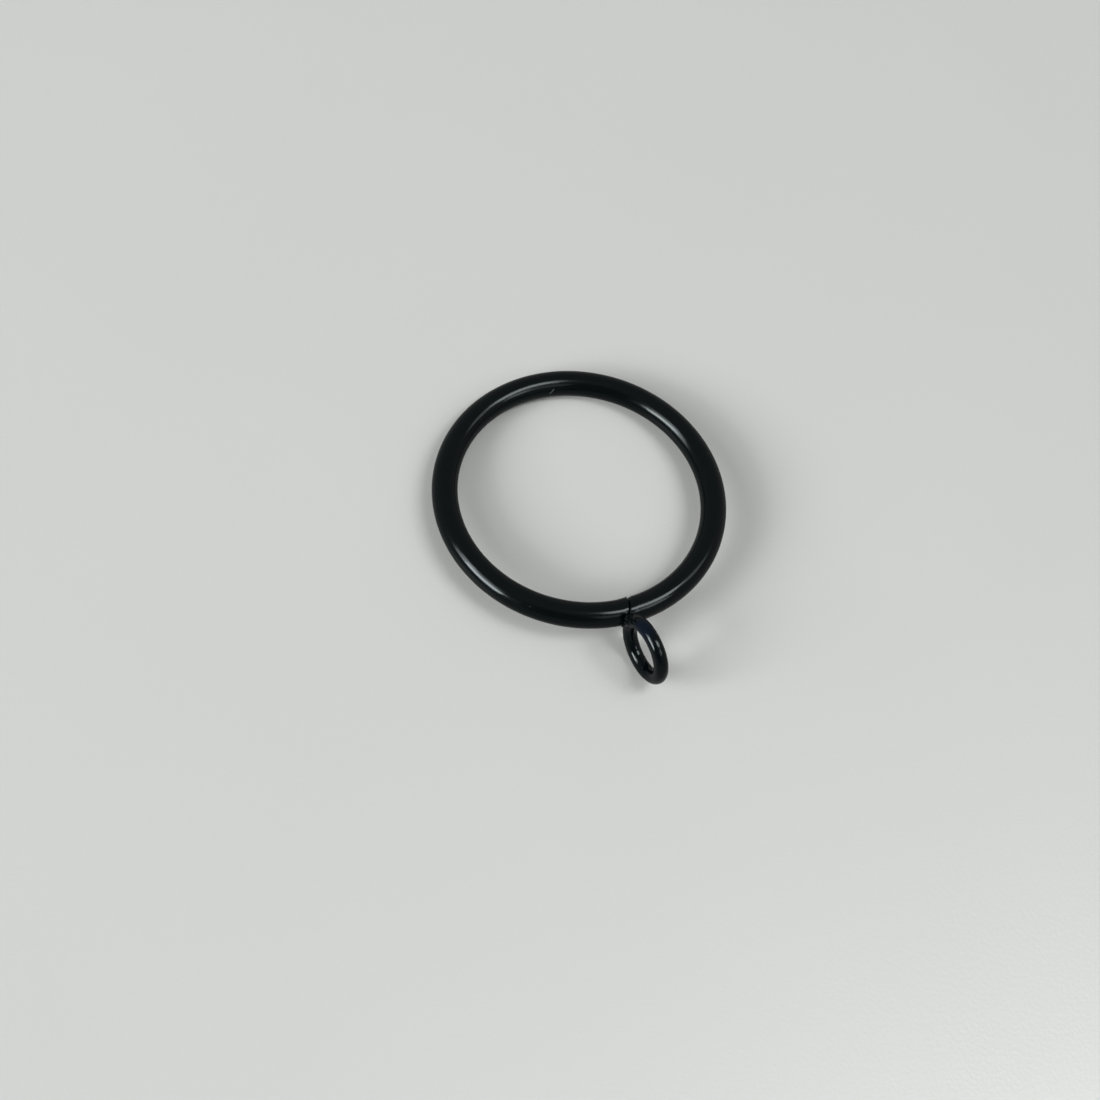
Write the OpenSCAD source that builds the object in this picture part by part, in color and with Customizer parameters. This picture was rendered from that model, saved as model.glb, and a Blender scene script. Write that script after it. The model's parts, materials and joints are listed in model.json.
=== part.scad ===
// Curtain ring: a round steel wire ring with a small fixed eyelet welded on
// next to where the ring's two ends meet. It lies as it rests on a table, on
// the far side of the ring and on the bottom of the eyelet, which lifts the
// near side. +Z is up, the eyelet points to -Y, and the origin is on the table
// under the middle of the part.

/* [Ring] */
// Inside diameter of the ring, which the curtain rod passes through
ring_id = 38; // [24:1:80]
// Diameter of the wire that the ring is bent from
ring_wire_d = 4; // [3.6:0.1:4.4]
// Width of the open seam between the two cut ends of the ring's wire
seam_gap = 0.2; // [0.1:0.02:0.4]
// How far the cut through the wire is turned from square, in degrees
seam_skew = 7; // [0:1:15]
// How far the seam lies to the side of the ring's middle
seam_shift = 0.2; // [0:0.1:0.5]

/* [Eyelet] */
// Inside diameter of the eyelet, which takes the curtain hook
eye_id = 6.7; // [5:0.1:8]
// Diameter of the wire that the eyelet is bent from
eye_wire_d = 2.2; // [1.8:0.1:2.6]
// Width of the open seam between the two cut ends of the eyelet's wire
eye_seam_gap = 0.12; // [0.06:0.02:0.3]
// How far round the eyelet its seam lies from the middle of the weld, in degrees
eye_seam_turn = 16; // [10:1:24]
// How far the welded eyelet stands turned about its own middle, in degrees
eye_yaw = 8.4; // [0:0.2:10]

/* [Weld] */
// How deep the eyelet's wire is sunk into the ring's wire by the weld
weld_sink = 0.7; // [0.4:0.05:0.8]
// Diameter of the bead of weld metal around the joint
bead_d = 3; // [2.8:0.1:3.4]
// How far the middle of the bead lies above the middle of the joint
bead_rise = 0.3; // [0:0.1:0.4]
// How much of the eyelet's wire stays bare on the inside of the eyelet
bead_inset = 0.2; // [0.15:0.05:0.25]

/* [Hidden] */
$fn = 128;
ring_r = (ring_id + ring_wire_d) / 2;
eye_r = (eye_id + eye_wire_d) / 2;
eye_od = eye_id + 2 * eye_wire_d;
// From the middle of the ring's wire to the middle of the eyelet
eye_reach = (ring_wire_d + eye_od) / 2 - weld_sink;
// The wire is cut by slabs that go right through it and no further
ring_cut = 2 * ring_wire_d;
eye_cut = 1.5 * eye_wire_d;
// The ring leans on the eyelet: its far side and the eyelet both touch Z = 0
rest_tilt = asin((eye_od - ring_wire_d) / 2 / (2 * ring_r + eye_reach));
ring_height = ring_r * sin(rest_tilt) + ring_wire_d / 2;
// How far the part reaches from the ring's middle along +Y and -Y as it rests
back_reach = ring_r * cos(rest_tilt) + ring_wire_d / 2;
eye_half_y = eye_r * sqrt(1 - pow(sin(eye_yaw) * cos(rest_tilt), 2)) + eye_wire_d / 2;
front_reach = (ring_r + eye_reach) * cos(rest_tilt) + eye_half_y;
ring_middle_y = (front_reach - back_reach) / 2;

// A closed hoop of round wire about Z
module hoop(middle_r, wire_d) {
    rotate_extrude()
        translate([middle_r, 0])
            circle(d = wire_d);
}

// Puts what is drawn about the ring's middle, in its plane, where it rests
module at_rest() {
    translate([0, ring_middle_y, ring_height])
        rotate([-rest_tilt, 0, 0])
            children();
}

// Puts what is drawn about the eyelet's middle where the eyelet stands
module at_eyelet() {
    translate([0, -ring_r - eye_reach, 0])
        rotate([0, 0, eye_yaw])
            children();
}

// Wire bent round until its cut ends nearly meet
module open_ring() {
    difference() {
        hoop(ring_r, ring_wire_d);
        translate([-seam_shift, -ring_r, 0])
            rotate([0, 0, -seam_skew])
                cube([seam_gap, ring_cut, ring_cut], center = true);
    }
}

// Small hoop of thinner wire, square to the ring, let into the ring's wire
module sunk_eyelet() {
    difference() {
        at_eyelet()
            difference() {
                rotate([0, 90, 0])
                    hoop(eye_r, eye_wire_d);
                rotate([eye_seam_turn, 0, 0])
                    translate([0, eye_r, 0])
                        cube([eye_cut, eye_cut, eye_seam_gap], center = true);
            }
        hoop(ring_r, ring_wire_d);
    }
}

// Weld metal in the corners around the joint and in the outer part of the seam
module bead() {
    difference() {
        at_eyelet()
            translate([0, eye_id / 2 + bead_inset + bead_d / 2, bead_rise])
                sphere(d = bead_d);
        open_ring();
        sunk_eyelet();
    }
}

module ring() {
    color("#15191b") at_rest() open_ring();
}

module eyelet() {
    color("#12161c") at_rest() sunk_eyelet();
}

module weld_bead() {
    color("#1a1c1d") at_rest() bead();
}

ring();
eyelet();
weld_bead();
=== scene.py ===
"""A black curtain ring with a small welded eyelet, modelled in place of its CAD solids."""
import json
import math

import bpy
from bpy.props import FloatProperty, FloatVectorProperty, PointerProperty
from mathutils import Matrix, Vector


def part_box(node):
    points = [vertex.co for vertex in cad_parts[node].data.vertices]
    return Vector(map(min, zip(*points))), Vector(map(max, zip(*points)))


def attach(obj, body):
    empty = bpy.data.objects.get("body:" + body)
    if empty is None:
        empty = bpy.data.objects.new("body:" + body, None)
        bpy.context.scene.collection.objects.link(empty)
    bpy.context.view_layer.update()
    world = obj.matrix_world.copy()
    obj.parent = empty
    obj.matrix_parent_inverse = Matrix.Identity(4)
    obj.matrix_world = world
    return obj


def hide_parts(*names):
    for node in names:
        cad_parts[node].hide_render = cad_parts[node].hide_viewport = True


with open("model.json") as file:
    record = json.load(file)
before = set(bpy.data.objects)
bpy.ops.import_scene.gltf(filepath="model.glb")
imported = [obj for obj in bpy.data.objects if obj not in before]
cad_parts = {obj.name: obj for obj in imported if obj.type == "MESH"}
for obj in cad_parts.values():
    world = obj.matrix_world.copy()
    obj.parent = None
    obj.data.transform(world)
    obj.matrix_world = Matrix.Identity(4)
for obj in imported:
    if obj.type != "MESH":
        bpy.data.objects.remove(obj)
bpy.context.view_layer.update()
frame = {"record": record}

bl_info = {
    "name": "Curtain ring",
    "version": (1, 0, 0),
    "blender": (4, 5, 0),
    "location": "3D View > Sidebar > Curtain Ring",
    "description": "Models a black painted curtain ring with its welded eyelet",
    "category": "Object",
}

MM = 0.001

# Sides of the round wires
RING_SIDES = 96
EYELET_SIDES = 72
WELD_EYELET_SIDES = 64


def place_from(middle, x_way, y_way):
    """Matrix that brings what is modelled flat about the origin to its place on the part."""
    axes = Matrix((x_way, y_way, x_way.cross(y_way))).transposed()
    return Matrix.Translation(middle) @ axes.to_4x4()


# The ring is modelled about +Z with its seam towards -Y. The eyelet is modelled about
# +Z too, with the ring towards +X and the ring's axis along +Y.
MOUNTS = {mount["name"]: mount for mount in frame["record"]["mounts"]}
RING_AXIS = Vector(MOUNTS["rod_opening"]["axis"]).normalized()
EYELET_AXIS = Vector(MOUNTS["hook_eye"]["axis"]).normalized()
ALONG = Vector((1.0, 0.0, 0.0))
RING_PLACE = place_from(Vector(MOUNTS["rod_opening"]["pos_m"]), ALONG, RING_AXIS.cross(ALONG))
EYELET_PLACE = place_from(Vector(MOUNTS["hook_eye"]["pos_m"]), RING_AXIS.cross(EYELET_AXIS), RING_AXIS)
RING_OUTSIDE_RADIUS = (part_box("ring")[1].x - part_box("ring")[0].x) / 2
# The eyelet stands on the floor, so its middle is as high as its outside radius
EYELET_OUTSIDE_RADIUS = MOUNTS["hook_eye"]["pos_m"][2]


# ---------------------------------------------------------------- small helpers

def linear(hex_colour):
    """An sRGB hex colour such as "#1a2b3c" as linear RGB."""
    channels = [int(hex_colour[i:i + 2], 16) / 255 for i in (1, 3, 5)]
    return tuple(c / 12.92 if c <= 0.04045 else ((c + 0.055) / 1.055) ** 2.4 for c in channels)


def opaque(colour):
    """A linear RGB colour with full alpha, as a shader socket takes it."""
    return (*colour, 1.0)


def per_mm(size):
    """Scale of a pattern on Object coordinates whose features are this many millimetres apart."""
    return 1.0 / (size * MM)


def add_node(tree, kind, inputs=None, **settings):
    """Adds a shader node with its settings; an input that is given a socket is linked to it."""
    node = tree.nodes.new("ShaderNode" + kind)
    for name, value in settings.items():
        setattr(node, name, value)
    for name, value in (inputs or {}).items():
        if isinstance(value, bpy.types.NodeSocket):
            tree.links.new(value, node.inputs[name])
        else:
            node.inputs[name].default_value = value
    return node


def new_material(name):
    """An empty node material."""
    material = bpy.data.materials.new(name)
    material.use_nodes = True
    material.node_tree.nodes.clear()
    return material


def direction(azimuth, elevation):
    """Unit vector to an azimuth, counted from -Y towards +X, at an elevation."""
    flat = math.cos(elevation)
    return Vector((math.sin(azimuth) * flat, -math.cos(azimuth) * flat, math.sin(elevation)))


def facing(azimuth, elevation, roll=0.0):
    """Turn of a camera or lamp that stands at this azimuth and elevation and looks at the middle."""
    return (
        Matrix.Rotation(azimuth, 4, "Z")
        @ Matrix.Rotation(math.pi / 2 - elevation, 4, "X")
        @ Matrix.Rotation(roll, 4, "Z")
    )


# ---------------------------------------------------------------- modelling tools

# Radius that filing and paint leave on the edges of the cut ends
CUT_EDGE = 0.12 * MM
# A cut end whose middle is this near the middle of the seam is one of the seam's own
NEAR_SEAM = 0.5 * MM
# How far along the wire a turned cut end takes the surface with it
SKEW_REACH = 1.2 * MM


def start_piece(name, add_primitive, **place):
    """Adds a primitive at its size and place as a new piece, with its place in its mesh."""
    bpy.ops.object.select_all(action="DESELECT")
    add_primitive(**place)
    piece = bpy.context.object
    piece.name = name
    piece.data.name = name
    bpy.ops.object.transform_apply(location=True, rotation=True, scale=True)
    return piece


def move_to(piece, place):
    """Moves a piece that was modelled about the origin to its place, and keeps it in its mesh."""
    bpy.ops.object.mode_set(mode="OBJECT")
    bpy.ops.object.select_all(action="DESELECT")
    piece.select_set(True)
    bpy.context.view_layer.objects.active = piece
    piece.matrix_world = place
    bpy.ops.object.transform_apply(location=True, rotation=True, scale=True)


def pick(piece, kind, wanted):
    """Enters edit mode with only those vertices or faces selected that are wanted."""
    bpy.ops.object.mode_set(mode="EDIT")
    bpy.ops.mesh.select_mode(type=kind)
    bpy.ops.mesh.select_all(action="DESELECT")
    bpy.ops.object.mode_set(mode="OBJECT")
    for element in piece.data.vertices if kind == "VERT" else piece.data.polygons:
        element.select = wanted(element)
    bpy.ops.object.mode_set(mode="EDIT")


def bend_wire(name, radius, wire_radius, start, arc, runs, sides):
    """Bends a length of round wire about Z, anticlockwise from the start angle through the arc.

    runs lists (share of the arc, steps) pairs, so that steps can be finer near the ends."""
    out = Vector((math.cos(start), math.sin(start), 0.0))
    piece = start_piece(
        name,
        bpy.ops.mesh.primitive_circle_add,
        vertices=sides,
        radius=wire_radius,
        location=out * radius,
        rotation=(math.pi / 2, 0.0, start),
    )
    bpy.ops.object.mode_set(mode="EDIT")
    bpy.ops.mesh.select_all(action="SELECT")
    for share, steps in runs:
        # Spin turns clockwise for a positive angle
        bpy.ops.mesh.spin(steps=steps, angle=-arc * share, center=(0, 0, 0), axis=(0, 0, 1))
    bpy.ops.mesh.select_all(action="SELECT")
    bpy.ops.mesh.fill_holes(sides=0)
    bpy.ops.mesh.select_all(action="SELECT")
    bpy.ops.mesh.normals_make_consistent(inside=False)
    bpy.ops.object.mode_set(mode="OBJECT")
    return piece


def graded(length, fine, near, coarse):
    """Runs for bend_wire: fine steps over the near metres at each end, coarse ones between."""
    share = near / length
    end_run = (share, round(near / fine))
    return [end_run, (1 - 2 * share, round((length - 2 * near) / coarse)), end_run]


def round_ends(piece, sides):
    """Takes the sharp edge off both cut ends of a bent wire."""
    pick(piece, "FACE", lambda face: len(face.vertices) == sides)
    bpy.ops.mesh.bevel(offset=CUT_EDGE, segments=4, affect="EDGES")


def skew_cut(piece, sides, middle, angle):
    """Turns the cut ends of a wire near the middle of its seam out of square."""
    pick(
        piece,
        "FACE",
        lambda face: len(face.vertices) == sides and (face.center - middle).length < NEAR_SEAM,
    )
    bpy.ops.transform.rotate(
        value=angle,
        orient_axis="Z",
        center_override=middle,
        use_proportional_edit=True,
        use_proportional_connected=True,
        proportional_edit_falloff="SMOOTH",
        proportional_size=SKEW_REACH,
    )


def finish_piece(piece, node, material):
    """Shades the piece and puts it in the frame in place of its CAD node."""
    bpy.ops.object.mode_set(mode="OBJECT")
    bpy.ops.object.select_all(action="DESELECT")
    piece.select_set(True)
    bpy.context.view_layer.objects.active = piece
    bpy.ops.object.shade_smooth_by_angle(angle=math.radians(40))
    piece.data.materials.clear()
    piece.data.materials.append(material)
    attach(piece, "root")
    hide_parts(node)


# ---------------------------------------------------------------- the ring

# The burr stands this far up round the wire from its innermost line
BURR_RISE = math.radians(30)
# Where its foot is from the edge of the cut, and how much of the wire it takes along
BURR_OFFSET = Vector((-0.1 * MM, 0.06 * MM, 0.0))
BURR_FOOT = 0.12 * MM
BURR_REACH = 0.4 * MM


def bend_ring(sizes):
    """The ring: round steel wire bent until its two cut ends nearly meet."""
    wire_radius = sizes.ring_wire / 2
    radius = RING_OUTSIDE_RADIUS - wire_radius
    seam = -math.pi / 2 - sizes.seam_shift / radius
    arc = 2 * math.pi - sizes.seam_gap / radius
    runs = graded(arc * radius, fine=0.1 * MM, near=5 * MM, coarse=0.5 * MM)
    start = seam + sizes.seam_gap / 2 / radius
    ring = bend_wire("ring_wire", radius, wire_radius, start, arc, runs, RING_SIDES)
    round_ends(ring, RING_SIDES)
    at_seam = Vector((-sizes.seam_shift, -radius, 0.0))

    # The cropping tool went through the wire a little askew
    skew_cut(ring, RING_SIDES, at_seam, sizes.seam_skew)

    # A burr that the cut left on the upper inner edge of the left end
    up = Vector((0.0, math.cos(BURR_RISE), math.sin(BURR_RISE)))
    edge = wire_radius * up.y * math.tan(sizes.seam_skew) - sizes.seam_gap / 2
    burr_root = at_seam + up * wire_radius + Vector((edge, 0.0, 0.0)) + BURR_OFFSET
    pick(ring, "VERT", lambda vertex: (vertex.co - burr_root).length < BURR_FOOT)
    bpy.ops.transform.translate(
        value=up * sizes.burr_height,
        use_proportional_edit=True,
        use_proportional_connected=True,
        proportional_edit_falloff="SHARP",
        proportional_size=BURR_REACH,
    )
    move_to(ring, RING_PLACE)
    return ring


# ---------------------------------------------------------------- the eyelet

def bend_eyelet(sizes):
    """The eyelet: thinner wire bent into a small hoop, closed but for a hairline seam."""
    wire_radius = sizes.eyelet_wire / 2
    radius = EYELET_OUTSIDE_RADIUS - wire_radius
    arc = 2 * math.pi - sizes.eyelet_seam_gap / radius
    start = sizes.eyelet_seam_turn + sizes.eyelet_seam_gap / 2 / radius
    runs = graded(arc * radius, fine=0.08 * MM, near=2 * MM, coarse=0.2 * MM)
    eyelet = bend_wire("eyelet_wire", radius, wire_radius, start, arc, runs, EYELET_SIDES)
    round_ends(eyelet, EYELET_SIDES)
    move_to(eyelet, EYELET_PLACE)
    return eyelet


# ---------------------------------------------------------------- the weld

def on_ring(sizes, along, around, lift=0.0):
    """Point over the ring's wire near the joint, modelled flat: metres along the wire from the
    middle of the eyelet's side, angle round the wire above its outermost line, height."""
    wire_radius = sizes.ring_wire / 2
    radius = RING_OUTSIDE_RADIUS - wire_radius
    turn = -math.pi / 2 + along / radius
    out = Vector((math.cos(turn), math.sin(turn), 0.0))
    reach = wire_radius + lift
    return out * (radius + reach * math.cos(around)) + Vector((0.0, 0.0, reach * math.sin(around)))


# Lumps of weld metal: mm along the ring's wire, degrees up round it, mm of lift, and
# half sizes in mm along the wire, round it and out from it
WELD_LUMPS = (
    (-1.34, 14, 0.12, 0.20, 0.32, 0.26),
    (-1.24, 32, 0.10, 0.24, 0.34, 0.26),
    (-0.98, 43, 0.08, 0.26, 0.32, 0.26),
    (-0.70, 28, 0.18, 0.30, 0.40, 0.32),
    (-0.45, 48, 0.10, 0.11, 0.52, 0.22),
    (-0.90, 8, 0.12, 0.40, 0.40, 0.30),
    (-1.36, -12, 0.05, 0.28, 0.44, 0.22),
    (-1.20, -36, 0.06, 0.40, 0.36, 0.24),
    (-0.70, -42, 0.04, 0.48, 0.34, 0.22),
    (-1.07, 50, 2.02, 0.26, 0.30, 0.34),
    (-1.36, 41, 0.98, 0.24, 0.36, 0.40),
    (-1.30, 43, 2.25, 0.24, 0.34, 0.42),
    (-1.50, 28, 0.72, 0.24, 0.34, 0.36),
    (-1.42, 35, 1.75, 0.20, 0.30, 0.38),
    (-0.86, 52, 1.20, 0.22, 0.26, 0.50),
)

# How rough the lumps are: name, grain and height in mm
WELD_GRAINS = (("weld ripples", 0.55, 0.16), ("weld spatter", 0.2, 0.07))

# How much thinner than the real wires their copies inside the weld are
HAIR = 0.035 * MM
# How far the copy of the ring's wire goes, to the left and to the right of the middle
RING_COPY_ENDS = (-3.2 * MM, 1.2 * MM)
# How far round from the ring the copy of the eyelet's wire goes, on either side
EYELET_COPY_END = math.radians(42)
WELD_VOXEL = 0.048 * MM


def copy_ring_near_joint(sizes):
    """Two lengths of wire inside the ring's own, one on each side of its seam."""
    wire_radius = sizes.ring_wire / 2
    radius = RING_OUTSIDE_RADIUS - wire_radius
    at_seam = Vector((-sizes.seam_shift, -radius, 0.0))
    short = sizes.seam_gap / 2 + CUT_EDGE
    left, right = RING_COPY_ENDS
    parts = []
    for start, stop in ((left, -sizes.seam_shift - short), (-sizes.seam_shift + short, right)):
        part = bend_wire(
            "weld_metal",
            radius,
            wire_radius - HAIR,
            -math.pi / 2 + start / radius,
            (stop - start) / radius,
            runs=[(1.0, 64)],
            sides=RING_SIDES,
        )
        skew_cut(part, RING_SIDES, at_seam, sizes.seam_skew)
        move_to(part, RING_PLACE)
        parts.append(part)
    return parts


def copy_eyelet_near_joint(sizes):
    """Two lengths of wire inside the eyelet's own, one on each side of its seam."""
    wire_radius = sizes.eyelet_wire / 2
    radius = EYELET_OUTSIDE_RADIUS - wire_radius
    beside_seam = (sizes.eyelet_seam_gap / 2 + CUT_EDGE) / radius
    parts = []
    for start, stop in (
        (-EYELET_COPY_END, sizes.eyelet_seam_turn - beside_seam),
        (sizes.eyelet_seam_turn + beside_seam, EYELET_COPY_END),
    ):
        part = bend_wire(
            "weld_metal_eyelet",
            radius,
            wire_radius - HAIR,
            start,
            stop - start,
            runs=[(1.0, 24)],
            sides=WELD_EYELET_SIDES,
        )
        move_to(part, EYELET_PLACE)
        parts.append(part)
    return parts


def lay_lumps(sizes):
    """The lumps as pieces, and the middle and the greatest half size of each."""
    lumps = []
    spots = []
    for along, around, lift, half_along, half_around, half_out in WELD_LUMPS:
        around = math.radians(around)
        middle = on_ring(sizes, along * MM, around, lift * MM)
        lump = start_piece(
            "weld_metal_lump",
            bpy.ops.mesh.primitive_ico_sphere_add,
            subdivisions=4,
            radius=1.0,
            location=middle,
            rotation=(-around, 0.0, 0.0),
            scale=(half_along * MM, half_out * MM, half_around * MM),
        )
        move_to(lump, RING_PLACE)
        lumps.append(lump)
        spots.append((RING_PLACE @ middle, max(half_along, half_around, half_out) * MM))
    return lumps, spots


def roughen(weld, spots):
    """Smooths the whole weld, and then makes its lumps rough."""

    def on_lump(vertex):
        return any((vertex.co - middle).length < size * 1.05 for middle, size in spots)

    pick(weld, "VERT", on_lump)
    bpy.ops.object.vertex_group_add()
    bpy.ops.object.vertex_group_assign()
    bpy.ops.object.vertex_group_smooth(group_select_mode="ACTIVE", factor=0.5, repeat=6)
    bpy.ops.mesh.select_all(action="SELECT")
    bpy.ops.mesh.vertices_smooth(factor=0.5, repeat=7)
    bpy.ops.object.mode_set(mode="OBJECT")
    for name, grain, height in WELD_GRAINS:
        texture = bpy.data.textures.new(name, "CLOUDS")
        texture.noise_scale = grain * MM
        texture.noise_depth = 1
        rough = weld.modifiers.new(name, "DISPLACE")
        rough.texture = texture
        rough.texture_coords = "LOCAL"
        rough.vertex_group = weld.vertex_groups[0].name
        rough.strength = height * MM
        rough.mid_level = 0.5
        bpy.ops.object.modifier_apply(modifier=name)


def weld_eyelet(sizes):
    """The weld: a fillet all round the joint, with a rough lump on its upper left side.

    Copies of both wires, a hair thinner, are joined with the lumps, remeshed and smoothed,
    so that metal stands above the real wires only where it runs into their corners."""
    parts = copy_ring_near_joint(sizes) + copy_eyelet_near_joint(sizes)
    lumps, spots = lay_lumps(sizes)
    parts += lumps
    bpy.ops.object.select_all(action="DESELECT")
    for part in parts:
        part.select_set(True)
    weld = parts[0]
    bpy.context.view_layer.objects.active = weld
    bpy.ops.object.join()
    weld.data.remesh_voxel_size = WELD_VOXEL
    bpy.ops.object.voxel_remesh()
    roughen(weld, spots)
    return weld


# ---------------------------------------------------------------- finishes

# The gloss of the black paint is a little cooler than what it mirrors
SKY_SHEEN = linear("#f0fcff")

# Marks in the paint: from and to in mm, half width in mm, colour
RING_MARKS = (
    ((1.86, 24.07, 2.43), (2.63, 24.35, 3.24), 0.09, "#6a6f70"),
    ((-14.60, -11.50, 6.28), (-14.62, -11.58, 6.23), 0.13, "#2c3032"),
)
# A painted reflection: a navy patch on the eyelet's upper limb above the weld, standing in for a bluish
# light mirrored there
EYELET_PAINTED_REFLECTION = (((-0.66, -20.2, 10.3), (-0.6, -21.9, 10.8), 2.4, "#010a17"),)


def mark(tree, place, ground, start, end, half_width, hex_colour):
    """Fades a colour into the ground colour along a short streak, and gives the socket of both."""
    start = Vector(start) * MM
    end = Vector(end) * MM
    length = (end - start).length
    rim = 2 * math.hypot(length / 2, half_width * MM)
    from_start = add_node(tree, "VectorMath", {0: place, 1: start}, operation="DISTANCE")
    from_end = add_node(tree, "VectorMath", {0: place, 1: end}, operation="DISTANCE")
    way = add_node(
        tree, "Math", {0: from_start.outputs["Value"], 1: from_end.outputs["Value"]}, operation="ADD"
    )
    share = add_node(
        tree,
        "MapRange",
        {"Value": way.outputs["Value"], "From Min": rim, "From Max": length},
        interpolation_type="SMOOTHSTEP",
    )
    both = add_node(
        tree,
        "Mix",
        {0: share.outputs["Result"], 6: ground, 7: opaque(linear(hex_colour))},
        data_type="RGBA",
    )
    return both.outputs[2]


def enamel(name, colour, roughness, peel_height, grain_height, marks_and_reflections=(), refraction=1.36):
    """Black stoving enamel, sprayed on steel wire and baked.

    It gives the eye an even black with clear, slightly softened lamp reflections along the
    wire, which orange peel makes waver, and a few dust nibs that were caught in the paint."""
    material = new_material(name)
    tree = material.node_tree
    place = add_node(tree, "TexCoord").outputs["Object"]

    peel = add_node(
        tree, "TexNoise", {"Vector": place, "Scale": per_mm(0.9), "Detail": 2.0, "Roughness": 0.5}
    )
    peel_bump = add_node(tree, "Bump", {"Height": peel.outputs["Fac"], "Distance": peel_height})
    grain = add_node(
        tree, "TexNoise", {"Vector": place, "Scale": per_mm(0.14), "Detail": 1.0, "Roughness": 0.5}
    )
    grain_bump = add_node(
        tree,
        "Bump",
        {"Height": grain.outputs["Fac"], "Distance": grain_height, "Normal": peel_bump.outputs["Normal"]},
    )
    # Dust nibs about 0.15 mm across, in roughly every third cell of a 2.4 mm pattern
    nibs = add_node(tree, "TexVoronoi", {"Vector": place, "Scale": per_mm(2.4)}, feature="F1")
    mound = add_node(
        tree,
        "MapRange",
        {"Value": nibs.outputs["Distance"], "From Min": 0.045, "From Max": 0.01},
        interpolation_type="SMOOTHSTEP",
    )
    chance = add_node(tree, "SeparateColor", {"Color": nibs.outputs["Color"]})
    chosen = add_node(tree, "Math", {0: chance.outputs["Red"], 1: 0.66}, operation="GREATER_THAN")
    nib_height = add_node(
        tree, "Math", {0: mound.outputs["Result"], 1: chosen.outputs["Value"]}, operation="MULTIPLY"
    )
    nib_bump = add_node(
        tree,
        "Bump",
        {
            "Height": nib_height.outputs["Value"],
            "Distance": 0.03 * MM,
            "Normal": grain_bump.outputs["Normal"],
        },
    )
    # The gloss varies a little where the coat went on thicker or thinner
    patches = add_node(
        tree, "TexNoise", {"Vector": place, "Scale": per_mm(5.0), "Detail": 3.0, "Roughness": 0.55}
    )
    gloss = add_node(
        tree,
        "MapRange",
        {
            "Value": patches.outputs["Fac"],
            "From Min": 0.3,
            "From Max": 0.7,
            "To Min": roughness - 0.03,
            "To Max": roughness + 0.04,
        },
    )
    tint = add_node(
        tree,
        "Mix",
        {
            0: patches.outputs["Fac"],
            6: opaque([c * 0.8 for c in colour]),
            7: opaque([c * 1.25 for c in colour]),
        },
        data_type="RGBA",
    )
    ground = tint.outputs[2]
    # Marks in the paint, and painted reflections such as the eyelet's navy patch, fade into the ground
    # colour
    for spot in marks_and_reflections:
        ground = mark(tree, place, ground, *spot)
    paint = add_node(
        tree,
        "BsdfPrincipled",
        {
            "Base Color": ground,
            "Roughness": gloss.outputs["Result"],
            "Normal": nib_bump.outputs["Normal"],
            "IOR": refraction,
            "Specular Tint": opaque(SKY_SHEEN),
        },
    )
    add_node(tree, "OutputMaterial", {"Surface": paint.outputs["BSDF"]})
    return material


def laminate(name, colour, roughness, backdrop_colour):
    """Pale grey melamine laminate with a fine pearl texture, as on a desk top.

    It gives the eye an even pale grey whose texture only shows where a lamp is mirrored in it."""
    material = new_material(name)
    tree = material.node_tree
    place = add_node(tree, "TexCoord").outputs["Object"]
    pearl = add_node(
        tree, "TexNoise", {"Vector": place, "Scale": per_mm(0.6), "Detail": 2.0, "Roughness": 0.6}
    )
    bump = add_node(tree, "Bump", {"Height": pearl.outputs["Fac"], "Distance": 0.02 * MM})
    clouds = add_node(
        tree, "TexNoise", {"Vector": place, "Scale": per_mm(40.0), "Detail": 2.0, "Roughness": 0.5}
    )
    tint = add_node(
        tree,
        "Mix",
        {
            0: clouds.outputs["Fac"],
            6: opaque([c * 0.985 for c in colour]),
            7: opaque([c * 1.015 for c in colour]),
        },
        data_type="RGBA",
    )
    # Its gloss is taken away towards a flat view, where it would mirror a whole lamp as white
    slant = add_node(tree, "LayerWeight", {"Blend": 0.5})
    gloss = add_node(
        tree,
        "MapRange",
        {
            "Value": slant.outputs["Facing"],
            "From Min": 0.35,
            "From Max": 0.7,
            "To Min": 0.5,
            "To Max": 0.0,
        },
    )
    board = add_node(
        tree,
        "BsdfPrincipled",
        {
            "Base Color": tint.outputs[2],
            "Roughness": roughness,
            "Normal": bump.outputs["Normal"],
            "IOR": 1.75,
            "Specular IOR Level": gloss.outputs["Result"],
        },
    )
    # What the glossy paint mirrors of the floor is dimmer than the floor itself
    seen = add_node(tree, "LightPath")
    dark = add_node(tree, "BsdfDiffuse", {"Color": opaque(linear("#000000"))})
    dimming = add_node(tree, "Math", {0: seen.outputs["Is Glossy Ray"], 1: 0.6}, operation="MULTIPLY")
    mirrored = add_node(
        tree, "MixShader", {0: dimming.outputs["Value"], 1: board.outputs["BSDF"], 2: dark.outputs["BSDF"]}
    )
    # Far from the part the floor fades into the backdrop, so that no edge shows
    apart = add_node(tree, "VectorMath", {0: place}, operation="LENGTH")
    farness = add_node(
        tree,
        "MapRange",
        {"Value": apart.outputs["Value"], "From Min": FADE_START, "From Max": FADE_END},
        interpolation_type="SMOOTHSTEP",
    )
    fade = add_node(
        tree,
        "Math",
        {0: farness.outputs["Result"], 1: seen.outputs["Is Camera Ray"]},
        operation="MULTIPLY",
    )
    backdrop = add_node(tree, "Emission", {"Color": opaque(backdrop_colour), "Strength": 1.0})
    surface = add_node(
        tree,
        "MixShader",
        {0: fade.outputs["Value"], 1: mirrored.outputs["Shader"], 2: backdrop.outputs["Emission"]},
    )
    add_node(tree, "OutputMaterial", {"Surface": surface.outputs["Shader"]})
    return material
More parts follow.
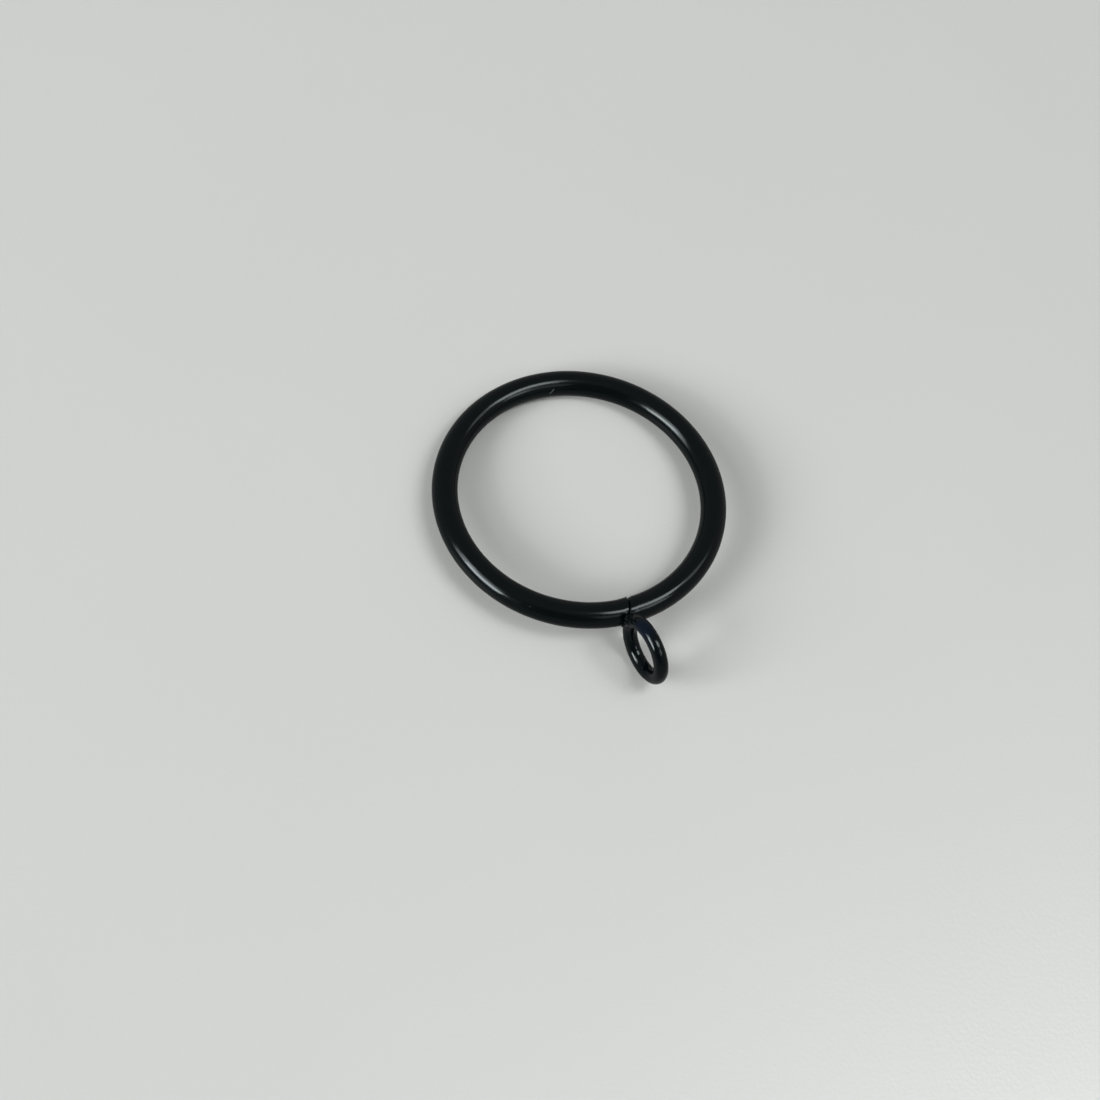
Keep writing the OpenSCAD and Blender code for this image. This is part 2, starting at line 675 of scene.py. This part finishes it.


# ---------------------------------------------------------------- the stage

# Soft lamps far off: name, azimuth and elevation of the middle, width and height as
# seen from the object, roll, all in degrees, and brightness
LAMPS = (
    ("window", -81, 23.5, 27, 19, 0, 17.0),
    ("window_side", -100, 29, 11, 32, 0, 5.0),
    ("window_top", -86, 41, 20, 14, 0, 3.6),
    ("ceiling_panel", 61, 64, 26.5, 17, -60, 8.3),
    ("ceiling_panel_front", 40, 42, 15, 16, 0, 3.2),
    ("ceiling_glow_right", 80, 45, 14, 14, 0, 1.8),
    ("ceiling_glow_front", 13, 45, 20, 18, 0, 0.8),
)
LAMP_DISTANCE = 2.2
FLOOR_RADIUS = 3.4
# The floor fades into the backdrop between these distances from the middle
FADE_START = 0.25
FADE_END = 1.1
# The room is darker towards the onlooker, from the first cosine on and most from the second
ONLOOKER = direction(math.radians(-30), math.radians(35))
ONLOOKER_RIM = 0.75
ONLOOKER_CORE = 0.97
ONLOOKER_SHADE = 0.45


def hang_lamp(name, azimuth, elevation, width, height, roll, brightness):
    """A rectangular soft lamp that faces the object and isn't seen itself."""
    light = bpy.data.lights.new(name, "AREA")
    light.shape = "RECTANGLE"
    light.size = 2 * LAMP_DISTANCE * math.tan(math.radians(width) / 2)
    light.size_y = 2 * LAMP_DISTANCE * math.tan(math.radians(height) / 2)
    light.energy = brightness * math.pi * light.size * light.size_y
    lamp = bpy.data.objects.new(name, light)
    bpy.context.scene.collection.objects.link(lamp)
    azimuth = math.radians(azimuth)
    elevation = math.radians(elevation)
    place = Matrix.Translation(direction(azimuth, elevation) * LAMP_DISTANCE)
    lamp.matrix_world = place @ facing(azimuth, elevation, math.radians(roll))
    lamp.visible_camera = False


def light_room(stage):
    """Weak even light from everywhere, a little weaker from where the onlooker stands."""
    world = bpy.data.worlds.new("soft room light")
    bpy.context.scene.world = world
    world.use_nodes = True
    tree = world.node_tree
    tree.nodes.clear()
    way = add_node(tree, "TexCoord").outputs["Generated"]
    nearness = add_node(tree, "VectorMath", {0: way, 1: ONLOOKER}, operation="DOT_PRODUCT")
    shade = add_node(
        tree,
        "MapRange",
        {
            "Value": nearness.outputs["Value"],
            "From Min": ONLOOKER_RIM,
            "From Max": ONLOOKER_CORE,
            "To Min": stage.room_light,
            "To Max": stage.room_light * ONLOOKER_SHADE,
        },
        interpolation_type="SMOOTHSTEP",
    )
    room = add_node(
        tree, "Background", {"Color": opaque(linear("#ffffff")), "Strength": shade.outputs["Result"]}
    )
    # What is seen past the edge of the floor is a backdrop as pale as the floor
    backdrop = add_node(tree, "Background", {"Color": opaque(stage.backdrop_colour), "Strength": 1.0})
    seen = add_node(tree, "LightPath")
    mix = add_node(
        tree,
        "MixShader",
        {
            0: seen.outputs["Is Camera Ray"],
            1: room.outputs["Background"],
            2: backdrop.outputs["Background"],
        },
    )
    add_node(tree, "OutputWorld", {"Surface": mix.outputs["Shader"]})


def lay_floor(stage):
    """A wide, pale, round floor."""
    floor = start_piece(
        "floor", bpy.ops.mesh.primitive_circle_add, vertices=96, radius=FLOOR_RADIUS, fill_type="NGON"
    )
    bpy.ops.object.mode_set(mode="EDIT")
    bpy.ops.mesh.select_all(action="SELECT")
    bpy.ops.mesh.inset(thickness=FLOOR_RADIUS * 0.6)
    bpy.ops.object.mode_set(mode="OBJECT")
    board = laminate(
        "pale laminate floor", stage.floor_colour, stage.floor_roughness, stage.backdrop_colour
    )
    floor.data.materials.append(board)


def place_camera(stage):
    """The camera looks down at the part from the front left, and is turned about its own axis."""
    data = bpy.data.cameras.new("camera")
    data.lens = stage.lens
    data.sensor_width = 36.0
    data.clip_start = 0.001
    camera = bpy.data.objects.new("camera", data)
    bpy.context.scene.collection.objects.link(camera)
    back = direction(stage.camera_azimuth, stage.camera_elevation) * stage.camera_distance
    place = Matrix.Translation(Vector(stage.camera_aim) + back)
    camera.matrix_world = place @ facing(stage.camera_azimuth, stage.camera_elevation, stage.camera_roll)
    bpy.context.scene.camera = camera


# ---------------------------------------------------------------- settings

def length(name, description, default):
    """A property that holds a length."""
    return FloatProperty(name=name, description=description, default=default, unit="LENGTH", precision=5)


def angle(name, description, degrees):
    """A property that holds an angle."""
    return FloatProperty(name=name, description=description, default=math.radians(degrees), subtype="ANGLE")


def colour(name, description, hex_colour):
    """A property that holds a colour."""
    return FloatVectorProperty(
        name=name,
        description=description,
        default=linear(hex_colour),
        subtype="COLOR",
        size=3,
        min=0.0,
        max=1.0,
    )


class WireSizes(bpy.types.PropertyGroup):
    """Sizes of the two wires and of their seams."""

    ring_wire: length("Ring wire", "Diameter of the wire that the ring is bent from", 4.0 * MM)
    seam_gap: length("Seam", "Gap between the two cut ends of the ring's wire", 0.2 * MM)
    seam_shift: length("Seam shift", "How far the seam lies to the left of the middle", 0.2 * MM)
    seam_skew: angle("Seam skew", "How far the cut is turned from square", 15.0)
    burr_height: length("Burr", "Height of the burr on the left end's inner edge", 0.16 * MM)
    eyelet_wire: length("Eyelet wire", "Diameter of the wire that the eyelet is bent from", 2.2 * MM)
    eyelet_seam_gap: length("Eyelet seam", "Gap between the two ends of the eyelet's wire", 0.12 * MM)
    eyelet_seam_turn: angle("Eyelet seam turn", "How far round the eyelet its seam lies", 16.0)


class PaintSettings(bpy.types.PropertyGroup):
    """Colours and gloss of the paint."""

    ring_colour: colour("Ring paint", "Colour of the paint on the ring", "#010405")
    eyelet_colour: colour("Eyelet paint", "Colour of the paint on the eyelet", "#010406")
    weld_colour: colour("Weld paint", "Colour of the paint over the weld", "#020505")
    ring_roughness: FloatProperty(
        name="Ring roughness", description="Roughness of the paint on the ring", default=0.15
    )
    eyelet_roughness: FloatProperty(
        name="Eyelet roughness", description="Roughness of the paint on the eyelet", default=0.115
    )
    weld_roughness: FloatProperty(
        name="Weld roughness", description="Roughness of the paint over the weld", default=0.3
    )


class StageSettings(bpy.types.PropertyGroup):
    """The floor, the room and the camera."""

    floor_colour: colour("Floor", "Colour of the floor", "#c7c9c6")
    floor_roughness: FloatProperty(
        name="Floor roughness", description="Roughness of the floor", default=0.35
    )
    backdrop_colour: colour("Backdrop", "Colour seen past the edge of the floor", "#ccccca")
    room_light: FloatProperty(
        name="Room light", description="Brightness of the light all round", default=0.26
    )
    camera_aim: FloatVectorProperty(
        name="Aim",
        description="The point that the camera looks at",
        default=(-6.6 * MM, -0.95 * MM, 0.0),
        subtype="XYZ",
        unit="LENGTH",
    )
    camera_distance: length("Distance", "From the camera to the point that it looks at", 310.9 * MM)
    camera_azimuth: angle("Azimuth", "Where the camera stands, from -Y towards +X", -36.9)
    camera_elevation: angle("Elevation", "How steeply the camera looks down", 62.6)
    camera_roll: angle("Roll", "How far the camera is turned about its own axis", 19.25)
    lens: FloatProperty(name="Lens", description="Focal length on a 36 mm sensor, in mm", default=65.9)


# ---------------------------------------------------------------- operators and panel

class CURTAIN_OT_ring(bpy.types.Operator):
    """Bends the ring, shapes its cut ends and paints it"""

    bl_idname = "curtain.ring"
    bl_label = "Ring"

    def execute(self, context):
        paint = context.scene.curtain_paint
        coat = enamel(
            "black enamel on ring",
            paint.ring_colour,
            paint.ring_roughness,
            peel_height=0.006 * MM,
            grain_height=0.0006 * MM,
            marks_and_reflections=RING_MARKS,
        )
        finish_piece(bend_ring(context.scene.curtain_wires), "ring", coat)
        return {"FINISHED"}


class CURTAIN_OT_eyelet(bpy.types.Operator):
    """Bends the eyelet and paints it"""

    bl_idname = "curtain.eyelet"
    bl_label = "Eyelet"

    def execute(self, context):
        paint = context.scene.curtain_paint
        coat = enamel(
            "blue-black enamel on eyelet",
            paint.eyelet_colour,
            paint.eyelet_roughness,
            peel_height=0.004 * MM,
            grain_height=0.0004 * MM,
            # The eyelet's paint carries a painted reflection: a navy patch on its upper limb above the weld
            marks_and_reflections=EYELET_PAINTED_REFLECTION,
        )
        finish_piece(bend_eyelet(context.scene.curtain_wires), "eyelet", coat)
        return {"FINISHED"}


class CURTAIN_OT_weld(bpy.types.Operator):
    """Lays the weld between the ring and the eyelet and paints it"""

    bl_idname = "curtain.weld"
    bl_label = "Weld"

    def execute(self, context):
        paint = context.scene.curtain_paint
        # Over the sooty weld the paint stayed flat and dull
        coat = enamel(
            "dull black enamel on weld",
            paint.weld_colour,
            paint.weld_roughness,
            peel_height=0.012 * MM,
            grain_height=0.002 * MM,
            refraction=1.2,
        )
        finish_piece(weld_eyelet(context.scene.curtain_wires), "weld_bead", coat)
        return {"FINISHED"}


class CURTAIN_OT_stage(bpy.types.Operator):
    """Lays the floor, hangs the lamps and places the camera"""

    bl_idname = "curtain.stage"
    bl_label = "Stage"

    def execute(self, context):
        stage = context.scene.curtain_stage
        lay_floor(stage)
        light_room(stage)
        for lamp in LAMPS:
            hang_lamp(*lamp)
        place_camera(stage)
        # Plain display of the light, so that pale and dark tones stay as they are
        context.scene.view_settings.view_transform = "Standard"
        return {"FINISHED"}


OPERATORS = (CURTAIN_OT_ring, CURTAIN_OT_eyelet, CURTAIN_OT_weld, CURTAIN_OT_stage)


class CURTAIN_PT_sidebar(bpy.types.Panel):
    """The operators that build the curtain ring, and their settings"""

    bl_idname = "CURTAIN_PT_sidebar"
    bl_label = "Curtain Ring"
    bl_space_type = "VIEW_3D"
    bl_region_type = "UI"
    bl_category = "Curtain Ring"

    def draw(self, context):
        for operator in OPERATORS:
            self.layout.operator(operator.bl_idname)
        scene = context.scene
        for settings in (scene.curtain_wires, scene.curtain_paint, scene.curtain_stage):
            box = self.layout.box()
            for name in settings.__annotations__:
                box.prop(settings, name)


CLASSES = (WireSizes, PaintSettings, StageSettings, *OPERATORS, CURTAIN_PT_sidebar)


def register():
    """Adds the classes to Blender and the settings to its scenes."""
    for cls in CLASSES:
        bpy.utils.register_class(cls)
    bpy.types.Scene.curtain_wires = PointerProperty(type=WireSizes)
    bpy.types.Scene.curtain_paint = PointerProperty(type=PaintSettings)
    bpy.types.Scene.curtain_stage = PointerProperty(type=StageSettings)


def unregister():
    """Takes away what register adds."""
    del bpy.types.Scene.curtain_stage
    del bpy.types.Scene.curtain_paint
    del bpy.types.Scene.curtain_wires
    for cls in reversed(CLASSES):
        bpy.utils.unregister_class(cls)


def main():
    """Builds the whole scene."""
    register()
    bpy.ops.curtain.ring()
    bpy.ops.curtain.eyelet()
    bpy.ops.curtain.weld()
    bpy.ops.curtain.stage()


if __name__ == "__main__":
    main()
